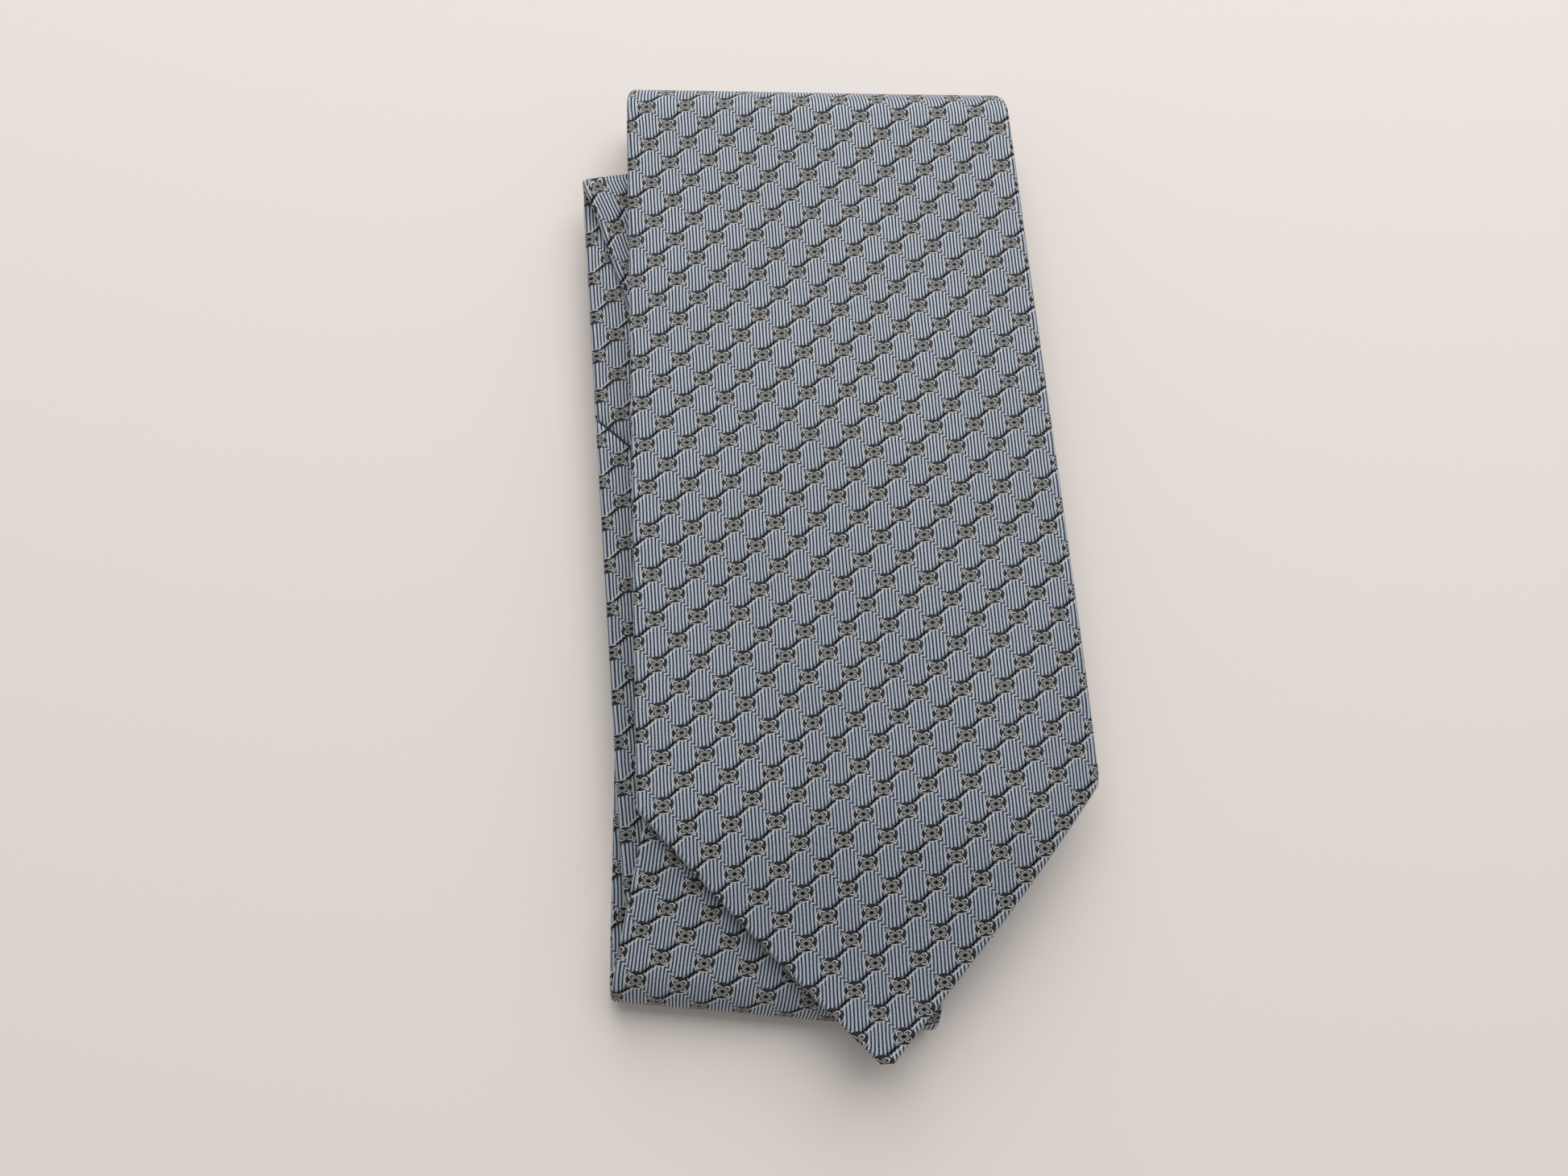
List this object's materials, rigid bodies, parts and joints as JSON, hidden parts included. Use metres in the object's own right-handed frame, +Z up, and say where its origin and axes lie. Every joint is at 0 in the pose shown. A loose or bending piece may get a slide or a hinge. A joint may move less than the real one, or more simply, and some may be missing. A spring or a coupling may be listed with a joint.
{
  "type": "necktie",
  "caption": "Woven silk necktie with a pointed blade and a small all-over motif, folded flat into a neat pile; the blade lifts at the top fold.",
  "frame": {"origin": "middle of the folded tie's footprint, on the surface that it lies on", "axes": "+X to the right, +Y towards the top fold, +Z up, out of the blade's front"},
  "size_m": [0.0992, 0.1945, 0.0167],
  "materials": {
    "silk": "fine lengthwise rib with a soft silk sheen",
    "tipping": "smooth satin lining",
    "interlining": "matt brushed wool",
    "label": "tight satin-woven, blank",
    "care_label": "plain white tape, blank",
    "thread": "twisted silk thread"
  },
  "bodies": {
    "pile": {"blade_fold_1": "silk", "blade_run_2": "silk", "blade_fold_2": "silk", "blade_run_3": "silk", "blade_fold_3": "silk", "blade_run_4": "silk", "blade_fold_4": "silk", "blade_run_5": "silk", "blade_fold_5": "silk", "blade_run_6": "silk", "neck_seam_thread": "thread", "neck_run_6": "silk", "neck_fold_6": "silk", "neck_run_7": "silk", "neck_fold_7": "silk", "neck_run_8": "silk", "tail_seam_thread": "thread", "tail_run_8": "silk", "tail_fold_8": "silk", "tail_run_9": "silk", "tail_fold_9": "silk", "tail_panel_end": "silk", "tail_tipping": "tipping", "tail_bar_tack": "thread", "folded_interlining": "interlining", "pile_slip_stitch": "thread"},
    "blade": {"blade_panel": "silk", "blade_interlining": "interlining", "blade_tipping": "tipping", "care_label": "care_label", "keeper_loop": "silk", "keeper_loop_ends": "silk", "loop_stitches": "thread", "maker_label": "label", "label_stitches": "thread", "blade_bar_tack": "thread", "blade_slip_stitch": "thread"}
  },
  "joints": [
    {"name": "blade_lift", "type": "hinge", "parent": "pile", "child": "blade", "pos_m": [-0.0012, 0.0886, 0.0169], "axis": [-0.9999, -0.0113, 0], "range_deg": [0, 150]}
  ]
}
